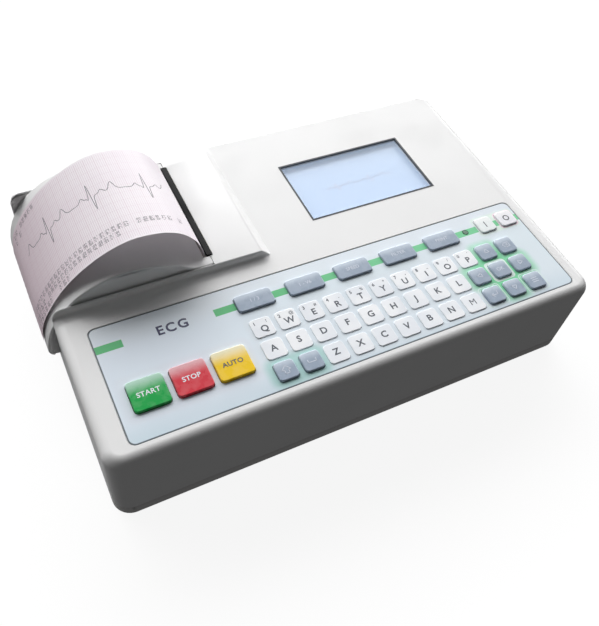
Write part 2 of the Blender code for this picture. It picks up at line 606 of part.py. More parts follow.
def make_head():
    span = (PAPER_FRONT - 0.8 * MM, PAPER_BACK + 0.8 * MM)
    paint(box("print_head", (-52.4 * MM, -51 * MM), span, (20.4 * MM, 30.6 * MM)),
          (0.75, 0.72, 0.66), 0.3)
    sink = box("head_heat_sink", (-50.7 * MM, -46.6 * MM), span, (20.4 * MM, 30.6 * MM))
    for i in range(3):
        z = (22.2 + 3 * i) * MM
        cut(sink, box(f"fin_gap_{i}", (-48.8 * MM, -45 * MM), (0, BACK), (z, z + 1.4 * MM), True))
    paint(sink, (0.7, 0.71, 0.73), 0.35, 1.0)
    leaf = [(-46.3, 26), (-44.8, 24.6), (-43.4, 22.5), (-42.6, 20.2)]
    spring = outline_solid("head_spring", ribbon([(x * MM, z * MM) for x, z in leaf], 0.4 * MM),
                           (25 * MM, 52 * MM))
    paint(spring, STEEL, 0.25, 1.0)
    bar_low, bar_high = 31.6 * MM, BLOCK_Z + 0.6 * MM
    bar = [(-51.2 * MM, bar_high), (-51.2 * MM, bar_low + MM), (-50.6 * MM, bar_low),
           (-48.3 * MM, bar_low), (-48.3 * MM, BLOCK_Z + 0.2 * MM), (-49 * MM, bar_high)]
    paint(outline_solid("tear_bar", bar, (BAR_FRONT, BAR_BACK)),
          (0.02, 0.02, 0.02), 0.35)


# ---------------------------------------------------------------- keys
def key_list():
    """Raised keys as name: (x, y, width, depth, height over the film, colour)."""
    keys = {}
    big = (16.5 * MM, 15.5 * MM, 1.5 * MM)
    for name, column, colour in (("start", 0, (0.02, 0.36, 0.12)), ("stop", 1, (0.65, 0.05, 0.07)),
                                 ("auto", 2, (0.9, 0.6, 0.03))):
        keys["key_" + name] = (-102 * MM + 19.5 * MM * column, -52.3 * MM, *big, colour)
    for i in range(5):
        keys[f"key_f{i + 1}"] = (-39.5 * MM + 27 * MM * i, -23.3 * MM, 19 * MM, 9.5 * MM,
                                 1.2 * MM, GREY_KEY)
    keys["key_on"] = (98 * MM, -22.4 * MM, 10 * MM, 9.8 * MM, 0.9 * MM, (0.85, 0.88, 0.9))
    keys["key_off"] = (112 * MM, -22.4 * MM, 10 * MM, 9.8 * MM, 0.9 * MM, (0.85, 0.88, 0.9))
    places = {"up": (10, 0), "clear": (11, 0), "left": (9, 1), "ok": (10, 1), "right": (11, 1),
              "enter": (9, 2), "down": (10, 2), "menu": (11, 2), "shift": (0, 2), "space": (1, 2)}
    for name, (column, row) in places.items():
        keys["key_" + name] = (*grid_place(column, row), 9.8 * MM, 9.8 * MM, 1.2 * MM, GREY_KEY)
    return keys


def grid_place(column, row):
    return GRID_X0 + KEY_PITCH_X * column, GRID_Y0 - KEY_PITCH_Y * row


def letter_places():
    """Grid places of the flat letter keys: ten, nine and seven from the top row down."""
    return ([(c, 0) for c in range(10)] + [(c, 1) for c in range(9)]
            + [(c, 2) for c in range(2, 9)])


def make_keypad():
    film = box("keypad_overlay", (PANEL_X0 + GAP, PANEL_X1 - GAP), (PANEL_Y0 + GAP, PANEL_Y1 - GAP),
               (FILM_Z0, FILM_Z1), plan_r=PANEL_R - GAP, steps=4)
    half = LETTER_PAD / 2
    for column, row in letter_places():
        x, y = grid_place(column, row)
        join(film, box(f"pad_{row}_{column}", (x - half, x + half), (y - half, y + half),
                       (FILM_Z0 + 0.1 * MM, FILM_Z1 + 0.45 * MM), True, plan_r=1.8 * MM,
                       top_r=0.35 * MM, steps=3))
    for name, (x, y, width, depth, height, colour) in key_list().items():
        along, across = (-width / 2, width / 2), (-depth / 2, depth / 2)
        key = box(name, along, across, (KEY_BASE_Z, FILM_Z1 + height), plan_r=1.6 * MM,
                  top_r=0.45 * MM, steps=3)
        key.data.transform(Matrix.Translation((0, 0, -FILM_Z1)))
        key.location = (x, y, FILM_Z1)
        paint(key, colour, 0.4)
        cut(film, box("hole_" + name, (x + along[0] - GAP, x + along[1] + GAP),
                      (y + across[0] - GAP, y + across[1] + GAP), (KEY_BASE_Z, BLOCK_Z), True,
                      plan_r=1.6 * MM + GAP, steps=3))
    cut(film, cylinder("led_hole", (*LED, 0), 1.8 * MM, (KEY_BASE_Z, BLOCK_Z), sides=16,
                       is_cutter=True))
    paint(film, (0.55, 0.65, 0.71), 0.45)
    paint(cylinder("status_led", (*LED, 0), 1.4 * MM, (27.7 * MM, FILM_Z1 + 0.1 * MM), sides=16),
          (0.1, 0.22, 0.16), 0.2)
    inset = FILM_LEDGE + 2 * GAP
    paint(box("keypad_board", (PANEL_X0 + inset, PANEL_X1 - inset),
              (PANEL_Y0 + inset, PANEL_Y1 - inset), (25.8 * MM, 27.4 * MM)), (0.03, 0.2, 0.08), 0.5)


# ---------------------------------------------------------------- display, boards, sockets
def make_display():
    x0, x1, y0, y1 = DISPLAY
    top = CONSOLE_Z - 0.8 * MM
    paint(box("display_window", (x0 + GAP, x1 - GAP), (y0 + GAP, y1 - GAP), (top - 1.2 * MM, top)),
          (0.8, 0.88, 0.95), 0.05, alpha=0.3)
    under = top - 1.2 * MM - GAP
    around = 4 * MM
    wall_under = CONSOLE_Z - WALL - GAP
    frame = box("lcd_frame", (x0 - around, x1 + around), (y0 - around, y1 + around),
                (wall_under - 6 * MM, wall_under))
    cut(frame, box("lcd_seat", (x0 - 1.2 * MM, x1 + 1.2 * MM), (y0 - 1.2 * MM, y1 + 1.2 * MM),
                   (wall_under - 7 * MM, wall_under + MM), True))
    paint(frame, STEEL, 0.4, 1.0)
    paint(box("lcd_panel", (x0 - 0.8 * MM, x1 + 0.8 * MM), (y0 - 0.8 * MM, y1 + 0.8 * MM),
              (wall_under - 5.5 * MM, min(under, wall_under))), (0.55, 0.72, 0.93), 0.2)


def make_boards():
    board = box("main_board", (-16 * MM, 108 * MM), (-2 * MM, 76 * MM),
                (BASE_Z + 6 * MM, BASE_Z + 7.6 * MM))
    chips = (((5, 25), (20, 40), 10), ((40, 54), (50, 64), 9.5), ((60, 90), (12, 30), 12),
             ((-10, 0), (52, 66), 14), ((70, 78), (45, 53), 16))
    for i, ((x0, x1), (y0, y1), height) in enumerate(chips):
        join(board, box(f"chip_{i}", (x0 * MM, x1 * MM), (y0 * MM, y1 * MM),
                        (BASE_Z + 7 * MM, BASE_Z + height * MM), True))
    paint(board, (0.03, 0.2, 0.08), 0.5)
    x0, x1, y0, y1 = BATTERY
    paint(box("battery_pack", (x0, x1), (y0, y1), (BASE_Z + 2.8 * MM, BASE_Z + 24 * MM),
              plan_r=3 * MM, top_r=1 * MM, steps=3), (0.1, 0.16, 0.35), 0.45)
    edge = 2 * MM - GAP
    door = box("battery_door", (x0 - edge, x1 + edge), (y0 - edge, y1 + edge),
               (BASE_Z, BASE_Z + 2.3 * MM), plan_r=1.7 * MM, steps=2)
    for i in range(4):
        x = x0 + (6 + 2.4 * i) * MM
        cut(door, box(f"grip_{i}", (x, x + 1.2 * MM), (-44 * MM, -26 * MM),
                      (BASE_Z - MM, BASE_Z + 0.7 * MM), True))
    paint(door, WHITE_PLASTIC, 0.55)


def make_sockets():
    plug = box("patient_connector", (-11.7 * MM, 29.7 * MM), (BACK - 9 * MM, BACK - 0.6 * MM),
               (PORT_Z - 6.2 * MM, PORT_Z + 6.2 * MM))
    face = [(-1.7, -5), (19.7, -5), (22, 5), (-4, 5)]
    cut(plug, outline_solid("plug_recess", [(x * MM, PORT_Z + z * MM) for x, z in face],
                            (BACK - 2.2 * MM, BACK), True))
    for i, x in enumerate((-7.5 * MM, 25.5 * MM)):
        cut(plug, cylinder(f"plug_thread_{i}", (x, 0, PORT_Z), 1.5 * MM,
                           (BACK - 6 * MM, BACK), "Y", 12, True))
    paint(plug, STEEL, 0.4, 1.0)
    inlet = box("power_inlet", (58.3 * MM, 79.7 * MM), (BACK - 14 * MM, BACK - 0.6 * MM),
                (PORT_Z - 5.7 * MM, PORT_Z + 5.7 * MM))
    cut(inlet, box("inlet_recess", (60 * MM, 78 * MM), (BACK - 11 * MM, BACK),
                   (PORT_Z - 4.1 * MM, PORT_Z + 4.1 * MM), True))
    for i, x in enumerate((64.7 * MM, 73.3 * MM)):
        join(inlet, cylinder(f"inlet_pin_{i}", (x, 0, PORT_Z), 1.2 * MM,
                             (BACK - 12 * MM, BACK - 2 * MM), "Y", 12, True))
    paint(inlet, (0.03, 0.03, 0.03), 0.5)
    stud = turned("equipotential_pin", [(0, 7 * MM), (2.2 * MM, 7 * MM), (2.2 * MM, 1 * MM),
                                        (3.9 * MM, 1 * MM), (3.9 * MM, -2 * MM), (0, -2 * MM)],
                  (100 * MM, BACK - 7.6 * MM, PORT_Z), "Y", 20)
    paint(stud, STEEL, 0.3, 1.0)


def make_feet_and_screws():
    for where, (x, y) in FEET.items():
        foot = turned("foot_" + where, [(0, 0.7 * MM), (6 * MM, 0.7 * MM), (6 * MM, -1.4 * MM),
                                        (5.3 * MM, -FOOT_H), (0, -FOOT_H)], (x, y, BASE_Z), steps=24)
        paint(foot, (0.08, 0.08, 0.09), 0.8)
    for where, (x, y) in SCREWS.items():
        screw = turned("case_screw_" + where,
                       [(0, 14 * MM), (1.3 * MM, 14 * MM), (1.3 * MM, 1.9 * MM),
                        (2.5 * MM, 1.9 * MM), (2.5 * MM, 0.6 * MM), (0, 0.6 * MM)],
                       (x, y, BASE_Z), steps=16)
        paint(screw, STEEL, 0.3, 1.0)


make_top_case()
make_bottom_case()
make_lid()
make_paper_strip()
make_hinge_pins()
make_feed()
make_roll()
make_head()
make_keypad()
make_display()
make_boards()
make_sockets()
make_feet_and_screws()
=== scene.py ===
"""Looks of a portable electrocardiograph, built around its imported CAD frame.

Lengths in this file are millimetres in the machine's own frame unless a name says otherwise:
X across, Y to the back, Z up. Zero is midway across the case, 90 mm in front of its back
wall and 22 mm over its bottom edge.
"""
import math
import random

import bmesh
import bpy
from mathutils import Matrix, Vector

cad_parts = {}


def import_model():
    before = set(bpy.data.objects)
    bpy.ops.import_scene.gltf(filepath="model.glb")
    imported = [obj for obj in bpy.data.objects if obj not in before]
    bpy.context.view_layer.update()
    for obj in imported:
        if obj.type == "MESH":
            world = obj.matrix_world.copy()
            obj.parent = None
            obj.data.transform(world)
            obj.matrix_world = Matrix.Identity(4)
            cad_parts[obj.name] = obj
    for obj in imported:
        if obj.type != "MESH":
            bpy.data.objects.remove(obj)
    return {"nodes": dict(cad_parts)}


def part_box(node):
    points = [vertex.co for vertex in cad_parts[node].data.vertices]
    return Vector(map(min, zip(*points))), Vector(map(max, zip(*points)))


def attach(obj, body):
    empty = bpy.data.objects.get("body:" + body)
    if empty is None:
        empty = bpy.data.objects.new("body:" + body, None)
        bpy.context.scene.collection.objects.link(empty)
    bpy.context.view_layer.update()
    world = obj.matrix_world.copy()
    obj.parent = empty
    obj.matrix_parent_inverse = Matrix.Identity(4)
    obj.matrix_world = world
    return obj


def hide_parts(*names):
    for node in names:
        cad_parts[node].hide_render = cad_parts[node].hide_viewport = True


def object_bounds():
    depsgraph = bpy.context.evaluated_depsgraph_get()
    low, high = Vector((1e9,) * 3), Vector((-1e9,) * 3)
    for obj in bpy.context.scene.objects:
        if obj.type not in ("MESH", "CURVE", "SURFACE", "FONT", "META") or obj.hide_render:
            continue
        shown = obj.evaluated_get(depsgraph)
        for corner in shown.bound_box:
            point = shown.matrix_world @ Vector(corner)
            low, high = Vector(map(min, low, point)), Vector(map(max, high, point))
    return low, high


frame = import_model()
CAD_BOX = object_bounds()
NODES = frame["nodes"]
SCENE = bpy.context.scene
MM = 0.001


# ------------------------------------------------------------------ places
def middle_of(low, high):
    return (low + high) / 2


CASE_LOW, CASE_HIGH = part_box("bottom_case")
ZERO_TO_BACK, BASE_TO_ZERO = 0.090, 0.022
ORIGIN = Vector((middle_of(CASE_LOW, CASE_HIGH).x, CASE_HIGH.y - ZERO_TO_BACK,
                 CASE_LOW.z + BASE_TO_ZERO))
CONSOLE_Z = 29.7
FILM_TOP = 29.6
PAD_TOP = FILM_TOP + 0.45
GRID_X, GRID_Y = -42.4, -39.1
PITCH_X, PITCH_Y = 12.9, 12.8
PANEL = (-117.2, 120.2, -73.5, -11.0)
STRIPE_Y, STRIPE_HALF = -23.3, 2.1
PAPER_FRONT, PAPER_BACK = 8.8, 68.8
PAPER_KNOTS = [(-52.2, 31.6), (-52.2, 35), (-55, 43), (-60, 50), (-66, 54.6), (-75, 57.6),
               (-87, 58), (-99, 54), (-111, 46.5), (-121, 36.8), (-128.8, 25.6),
               (-133.2, 16), (-134.85, 5)]
ROLL_AXIS = (-88.0, 23.0)
STRIPE_BREAK = (-104.0, -60.0)
COMMAND_HALO = (-114.5, -51, -64.5, -40.5)
POWER_HALO = (91.6, 118.4, -28.6, -16.2)
POWER_FIELD = (88, 119, -29.4, -15.4)
SQUARE_RING = 6.5


def world(x, y, z):
    """Machine millimetres to the frame's metres."""
    return ORIGIN + Vector((x, y, z)) * MM


def node_mm(name):
    """Low and high corners of a CAD node in machine millimetres."""
    low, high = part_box(name)
    return (low - ORIGIN) / MM, (high - ORIGIN) / MM


def srgb(*rgb):
    """Screen colour, 0 to 255, as a linear colour."""
    values = [c / 255 for c in rgb]
    return tuple(v / 12.92 if v <= 0.04045 else ((v + 0.055) / 1.055) ** 2.4
                 for v in values) + (1.0,)


# ------------------------------------------------------------------ materials
class Look:
    """A node material on one Principled shader, with short calls for its graph."""

    def __init__(self, name, colour=None, rough=0.5, **sockets):
        self.material = bpy.data.materials.new(name)
        self.material.use_nodes = True
        self.tree = self.material.node_tree
        self.shader = self.tree.nodes["Principled BSDF"]
        self.shader.inputs["Roughness"].default_value = rough
        if colour:
            self.shader.inputs["Base Color"].default_value = colour
        for socket, value in sockets.items():
            self.shader.inputs[socket.replace("_", " ")].default_value = value
        self.place = self.node("ShaderNodeTexCoord").outputs["Object"]

    def node(self, kind, inputs=(), **settings):
        made = self.tree.nodes.new(kind)
        for key, value in settings.items():
            setattr(made, key, value)
        for key, value in dict(inputs).items():
            self.feed(made.inputs[key], value)
        return made

    def feed(self, socket, value):
        if isinstance(value, bpy.types.NodeSocket):
            self.tree.links.new(value, socket)
        else:
            socket.default_value = value

    def math(self, operation, a, b=0.0, clamp=False):
        made = self.node("ShaderNodeMath", {0: a, 1: b}, operation=operation)
        made.use_clamp = clamp
        return made.outputs[0]

    def axes(self):
        """X, Y and Z of a point in machine millimetres."""
        if not hasattr(self, "_axes"):
            moved = self.node("ShaderNodeVectorMath", {0: self.place, 1: tuple(ORIGIN)},
                              operation="SUBTRACT")
            scaled = self.node("ShaderNodeVectorMath", {0: moved.outputs[0]}, operation="SCALE")
            scaled.inputs["Scale"].default_value = 1 / MM
            self._axes = self.node("ShaderNodeSeparateXYZ", {0: scaled.outputs[0]}).outputs[:]
        return self._axes

    def ramp(self, value, low, high, to_low=0.0, to_high=1.0):
        """Smooth step of a value between two levels."""
        made = self.node("ShaderNodeMapRange", {"Value": value, "From Min": low,
                                                "From Max": high, "To Min": to_low,
                                                "To Max": to_high},
                         interpolation_type="SMOOTHSTEP")
        return made.outputs[0]

    def mix(self, a, b, share):
        """Colour between two; 6, 7 and output 2 are the node's colour sockets."""
        return self.node("ShaderNodeMix", {0: share, 6: a, 7: b}, data_type="RGBA").outputs[2]

    def noise(self, per_mm, detail=2.0, stretch=None):
        at = self.place
        if stretch:
            at = self.node("ShaderNodeVectorMath", {0: at, 1: stretch},
                           operation="MULTIPLY").outputs[0]
        return self.node("ShaderNodeTexNoise", {"Vector": at, "Scale": per_mm / MM,
                                                "Detail": detail}).outputs["Fac"]

    def slab(self, x0, x1, y0, y1, radius, soft):
        """Share inside a plan rectangle with round corners, fading over its soft edge."""
        x, y, _ = self.axes()
        away = []
        for value, low, high in ((x, x0, x1), (y, y0, y1)):
            off = self.math("ABSOLUTE", self.math("SUBTRACT", value, (low + high) / 2))
            away.append(self.math("SUBTRACT", off, (high - low) / 2 - radius))
        outside = self.math("POWER", self.math("ADD", self.math(
            "POWER", self.math("MAXIMUM", away[0], 0.0), 2.0), self.math(
            "POWER", self.math("MAXIMUM", away[1], 0.0), 2.0)), 0.5)
        inside = self.math("MINIMUM", self.math("MAXIMUM", *away), 0.0)
        distance = self.math("SUBTRACT", self.math("ADD", outside, inside), radius)
        return self.ramp(distance, soft / 2, -soft / 2)

    def bump(self, *layers):
        """Height layers as (height, depth in mm), stacked into the shader's normal."""
        normal = None
        for height, depth in layers:
            made = self.node("ShaderNodeBump", {"Height": height, "Strength": 1.0,
                                                "Distance": depth * MM})
            if normal:
                self.feed(made.inputs["Normal"], normal)
            normal = made.outputs["Normal"]
        self.feed(self.shader.inputs["Normal"], normal)

    def colour(self, value):
        self.feed(self.shader.inputs["Base Color"], value)

    def roughness(self, value):
        self.feed(self.shader.inputs["Roughness"], value)


def shaded(colour, share):
    """Colour made darker or lighter by a factor."""
    return tuple(min(1.0, c * share) for c in colour[:3]) + (1.0,)


def moulded(name, colour, rough=0.45, grain=0.35, mottle=0.04, **sockets):
    """Moulded plastic or rubber: fine spark grain, faint flow mottling and rubbed patches."""
    look = Look(name, colour, rough, **sockets)
    flow = look.ramp(look.noise(0.02, 3.0), 0.3, 0.7)
    look.colour(look.mix(shaded(colour, 1 - mottle), shaded(colour, 1 + mottle), flow))
    fine = look.noise(grain * 10, 1.0)
    soft = look.noise(grain * 2.2, 2.0)
    look.bump((soft, 0.010), (fine, 0.014))
    rub = look.ramp(look.noise(0.05, 4.0), 0.35, 0.75)
    look.roughness(look.ramp(rub, 0.0, 1.0, rough - 0.06, rough + 0.08))
    return look.material


def metal(name, colour, rough=0.35, along=(1.0, 12.0, 12.0)):
    """Drawn or rolled metal with fine lines along one direction and a few dull patches."""
    look = Look(name, colour, rough, Metallic=1.0)
    lines = look.noise(1.5, 3.0, along)
    dull = look.ramp(look.noise(0.12, 3.0), 0.35, 0.7)
    look.colour(look.mix(colour, shaded(colour, 0.82), dull))
    look.bump((lines, 0.006))
    look.roughness(look.ramp(dull, 0.0, 1.0, rough - 0.08, rough + 0.12))
    return look.material


def key_cap(name, node, front, back):
    """Satin key: full colour at its front edge, made paler towards its back edge by a painted
    sheen.
    """
    low, high = node_mm(node)
    look = Look(name, front, 0.36, Coat_Weight=0.08, Specular_IOR_Level=0.3)
    look.shader.inputs["Coat Roughness"].default_value = 0.2
    _, y, _ = look.axes()
    depth = high.y - low.y
    # painted sheen: the cap's colour fades to a paler one from its middle to its back edge,
    # standing in for a gloss highlight
    pale = look.ramp(y, low.y + depth * 0.5, high.y + depth * 0.04)
    scuff = look.ramp(look.noise(0.25, 4.0), 0.4, 0.75, 0.0, 0.05)
    look.colour(look.mix(look.mix(front, back, pale), (1, 1, 1, 1), scuff))
    look.bump((look.noise(2.6, 1.0), 0.006))
    look.roughness(look.ramp(scuff, 0.0, 0.05, 0.26, 0.38))
    return look.material


def film_look():
    """Printed overlay: pale blue field, green stripe, soft halos and white letter pads."""
    look = Look("overlay_film", srgb(196, 211, 218), 0.42)

    def print_on(under, colour, where, share=1.0):
        return look.mix(under, colour, where if share == 1.0 else look.math(
            "MULTIPLY", where, share))

    def around(x, y, half_x, half_y, radius, soft):
        return look.slab(x - half_x, x + half_x, y - half_y, y + half_y, radius, soft)

    x, y, z = look.axes()
    field = look.mix(srgb(226, 237, 248), srgb(222, 236, 242), look.ramp(x, -110, 60))
    field = look.mix(field, srgb(226, 235, 242), look.ramp(y, -30, -14))
    field = look.mix(field, srgb(204, 223, 233), look.ramp(y, -60, -74))
    cloud = look.ramp(look.noise(0.012, 2.0), 0.3, 0.7, 0.0, 0.35)
    field = look.mix(field, srgb(228, 234, 245), cloud)

    x0, x1, y0, y1 = PANEL
    field = print_on(field, srgb(224, 232, 242), look.slab(*COMMAND_HALO, 4, 3), 0.75)
    for last, row, first in ((9, 0, 0), (8, 1, 0), (8, 2, 2)):
        cx0, cx1 = GRID_X + PITCH_X * first, GRID_X + PITCH_X * last
        cy = GRID_Y - PITCH_Y * row
        under = look.slab(cx0 - 7.6, cx1 + 7.6, cy - 7.4, cy + 7.4, 4, 3)
        field = print_on(field, srgb(222, 232, 240), under, 0.85)

    teal = around(GRID_X + PITCH_X / 2, GRID_Y - 2 * PITCH_Y, PITCH_X / 2 + 8.5, 8, 5, 5)
    field = print_on(field, srgb(160, 207, 201), teal, 0.8)

    ox, oy = GRID_X + 10 * PITCH_X, GRID_Y - PITCH_Y
    glow = look.math("MAXIMUM", around(ox, oy, 21, 9, 5, 5), around(ox, oy, 9, 20, 5, 5))
    field = print_on(field, srgb(160, 222, 190), glow, 0.9)
    core = look.math("MAXIMUM", around(ox, oy, 14, 7.5, 4, 5), around(ox, oy, 8, 13, 4, 5))
    field = print_on(field, srgb(116, 218, 158), core, 0.85)
    ok_pad = around(ox, oy, SQUARE_RING, SQUARE_RING, 2.2, 0.4)
    field = print_on(field, srgb(226, 244, 236), ok_pad)
    for column in (9, 11):
        cx, cy = GRID_X + PITCH_X * column, GRID_Y - PITCH_Y * 2
        outer = around(cx, cy, SQUARE_RING, SQUARE_RING, 2, 0.3)
        inner = around(cx, cy, SQUARE_RING - 0.5, SQUARE_RING - 0.5, 1.6, 0.3)
        ring = look.math("SUBTRACT", outer, inner, True)
        field = print_on(field, srgb(222, 240, 236), ring, 0.9)

    off_line = look.math("ABSOLUTE", look.math("SUBTRACT", y, STRIPE_Y))
    beside_title = look.math("MAXIMUM",
                             look.ramp(x, STRIPE_BREAK[0] + 0.2, STRIPE_BREAK[0] - 0.2),
                             look.ramp(x, STRIPE_BREAK[1] - 0.2, STRIPE_BREAK[1] + 0.2))
    band = look.math("MULTIPLY", look.ramp(off_line, STRIPE_HALF + 0.15, STRIPE_HALF - 0.15),
                     beside_title)
    green = look.mix(srgb(78, 186, 116), srgb(112, 208, 150), look.ramp(x, -60, 60))
    field = print_on(field, green, band)
    around_power = look.math("SUBTRACT", look.slab(*POWER_HALO, 2, 2.5), band, True)
    around_power = look.math("MULTIPLY", around_power, look.slab(*POWER_FIELD, 1.5, 0.4))
    field = print_on(field, srgb(225, 243, 232), around_power)
    for name, margin, colour in (("key_off", 0.9, srgb(240, 218, 228)),
                                 ("key_on", 0.8, srgb(226, 236, 236))):
        low, high = node_mm(name)
        ring = look.slab(low.x - margin, high.x + margin, low.y - margin, high.y + margin,
                         2, 0.3)
        field = print_on(field, colour, ring)

    # painted shade: a thin dark line round the film's edge stands for the shadow in the groove
    # between film and case
    inside = look.slab(x0 + 0.75, x1 - 0.75, y0 + 0.75, y1 - 0.75, 3, 0.25)
    field = look.mix(srgb(92, 104, 112), field, inside)
    pad = look.ramp(z, FILM_TOP + 0.02, FILM_TOP + 0.3)
    white = look.mix(srgb(236, 240, 246), srgb(247, 249, 252), look.ramp(
        look.noise(0.08, 2.0), 0.35, 0.65))
    look.colour(look.mix(field, white, pad))
    look.bump((look.noise(4.0, 1.0), 0.006), (look.noise(0.7, 1.0), 0.004))
    look.roughness(look.ramp(look.noise(0.06, 4.0), 0.35, 0.7, 0.34, 0.5))
    return look.material


def display_look():
    """Lit display: even pale blue with a slightly deeper lower right corner."""
    look = Look("display_glass", srgb(150, 175, 205), 0.3)
    x, y, _ = look.axes()
    across = look.ramp(x, 11, 88)
    down = look.ramp(y, 57, 14)
    glow = look.mix(srgb(206, 224, 249), srgb(204, 222, 243), across)
    glow = look.mix(glow, srgb(203, 222, 249), down)
    cells = look.math("MULTIPLY", look.math("FRACT", look.math("MULTIPLY", x, 2.4)),
                      look.math("FRACT", look.math("MULTIPLY", y, 2.4)))
    glow = look.mix(glow, srgb(198, 218, 246), look.math("MULTIPLY", cells, 0.12))
    look.feed(look.shader.inputs["Emission Color"], glow)
    look.shader.inputs["Emission Strength"].default_value = 0.38
    look.bump((look.noise(3.0, 1.0), 0.002))
    return look.material


def paper_look():
    """Chart paper: coated white-pink stock with a red millimetre grid printed on it, and painted
    shade down the side that hangs from the top of the arch.
    """
    look = Look("chart_paper", srgb(240, 230, 236), 0.55)
    spot = look.node("ShaderNodeUVMap", uv_map="chart").outputs["UV"]
    u, v, _ = look.node("ShaderNodeSeparateXYZ", {0: spot}).outputs[:]

    def lines(value, pitch, half):
        return look.ramp(look.math("PINGPONG", value, pitch / 2), half, half * 0.35)

    bold = look.math("MAXIMUM", lines(u, 5.0, 0.22), lines(v, 5.0, 0.16))
    stock = look.mix(srgb(251, 246, 250), srgb(246, 239, 245), look.ramp(
        look.noise(0.03, 3.0), 0.3, 0.7))
    # painted shade: past the top of the arch, 50 mm along, the stock darkens towards the free
    # end, which hangs down the left side away from the light
    stock = look.mix(stock, srgb(236, 218, 226), look.ramp(u, 50, 122, 0.0, 0.9))
    inked = look.math("MULTIPLY", look.ramp(u, 12, 60, 0.3, 1.0), look.math(
        "MULTIPLY", look.ramp(v, 0.9, 1.2), look.ramp(v, 59.1, 58.8)))
    printed = stock
    for ruled, colour, share in ((lines(u, 1.0, 0.17), srgb(200, 172, 190), 0.5),
                                 (lines(v, 1.0, 0.12), srgb(226, 190, 204), 0.28),
                                 (bold, srgb(206, 168, 186), 0.25)):
        printed = look.mix(printed, colour, look.math(
            "MULTIPLY", look.math("MULTIPLY", ruled, share), inked))
    look.colour(printed)
    fibre = look.noise(1.6, 4.0, (1.0, 2.0, 1.0))
    look.bump((fibre, 0.010), (look.noise(0.12, 2.0), 0.05))
    look.roughness(look.ramp(fibre, 0.3, 0.7, 0.5, 0.62))
    return look.material


def roll_look():
    """Wound paper: rings of edge on both ends, plain stock round the outside."""
    look = Look("chart_paper_roll", srgb(240, 228, 234), 0.6)
    x, y, z = look.axes()
    dx = look.math("SUBTRACT", x, ROLL_AXIS[0])
    dz = look.math("SUBTRACT", z, ROLL_AXIS[1])
    radius = look.math("POWER", look.math("ADD", look.math("MULTIPLY", dx, dx),
                                          look.math("MULTIPLY", dz, dz)), 0.5)
    rings = look.math("PINGPONG", look.math("ADD", radius, look.noise(0.2, 1.0)), 0.35)
    off_middle = look.math("SUBTRACT", y, (PAPER_FRONT + PAPER_BACK) / 2)
    squared = look.math("MULTIPLY", off_middle, off_middle)
    half = (PAPER_BACK - PAPER_FRONT) / 2 - 1.0
    end_face = look.ramp(squared, half ** 2, (half + 0.6) ** 2)
    edge = look.math("MAXIMUM", look.ramp(rings, 0.05, 0.3), look.ramp(end_face, 0.6, 0.4))
    look.colour(look.mix(srgb(222, 202, 210), srgb(244, 232, 239), edge))
    look.bump((edge, 0.03), (look.noise(1.5, 3.0), 0.01))
    return look.material


def board_look():
    """Circuit board: green resist with paler tracks, pads and a few darker parts."""
    look = Look("circuit_board", srgb(24, 92, 54), 0.4)
    x, _, z = look.axes()
    runs = look.math("PINGPONG", look.math("ADD", x, look.math("MULTIPLY", look.ramp(
        look.noise(0.06, 0.0), 0.45, 0.55), 6.0)), 1.1)
    track = look.ramp(runs, 0.30, 0.22)
    resist = look.mix(srgb(20, 84, 48), srgb(52, 128, 78), track)
    part = look.math("SUBTRACT", look.ramp(z, 7.9, 8.1), look.ramp(z, 24.0, 25.0), True)
    look.colour(look.mix(resist, srgb(38, 38, 42), part))
    look.bump((track, 0.04), (look.noise(1.2, 2.0), 0.01))
    look.roughness(look.ramp(track, 0.0, 1.0, 0.42, 0.3))
    return look.material


def battery_look():
    """Battery pack: shiny shrink wrap, rippled over the cells, with a paler band."""
    look = Look("battery_wrap", srgb(48, 72, 120), 0.28)
    x, y, _ = look.axes()
    cells = look.math("PINGPONG", look.math("SUBTRACT", x, 12.0), 8.0)
    band = look.math("MULTIPLY", look.ramp(y, -48, -47), look.ramp(y, -20, -21))
    look.colour(look.mix(srgb(40, 62, 110), srgb(170, 180, 196), band))
    look.bump((cells, 0.25), (look.noise(0.35, 3.0), 0.08))
    look.roughness(look.ramp(look.noise(0.3, 3.0), 0.3, 0.7, 0.2, 0.38))
    return look.material


# ------------------------------------------------------------------ making pieces
def piece_from(mesh, name, body, look, smooth_angle=None):
    """Visible piece that rides on a body, shaded smooth up to an angle if one is given."""
    made = bpy.data.objects.new(name, mesh)
    SCENE.collection.objects.link(made)
    mesh.materials.clear()
    mesh.materials.append(look)
    if smooth_angle is not None:
        for face in mesh.polygons:
            face.use_smooth = True
        mesh.set_sharp_from_angle(angle=math.radians(smooth_angle))
        weighted = made.modifiers.new("normals", "WEIGHTED_NORMAL")
        weighted.keep_sharp = True
    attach(made, body)
    return made


def smooth_shell(node, body, look, angle=40):
    """Same shape as a CAD node, welded and shaded smooth, shown in its place."""
    source = NODES[node].data
    bm = bmesh.new()
    bm.from_mesh(source)
    bmesh.ops.remove_doubles(bm, verts=bm.verts, dist=1e-6)
    bmesh.ops.dissolve_limit(bm, angle_limit=math.radians(0.4), verts=bm.verts, edges=bm.edges)
    bmesh.ops.recalc_face_normals(bm, faces=bm.faces)
    mesh = bpy.data.meshes.new(node + "_shell")
    bm.to_mesh(mesh)
    bm.free()
    made = piece_from(mesh, node + "_shell", body, look, angle)
    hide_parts(node)
    return made


def repaint(look, *nodes):
    """New material on CAD nodes that are shown as they are."""
    for name in nodes:
        mesh = NODES[name].data
        mesh.materials.clear()
        mesh.materials.append(look)


CAPITAL_SHARE = 0.72


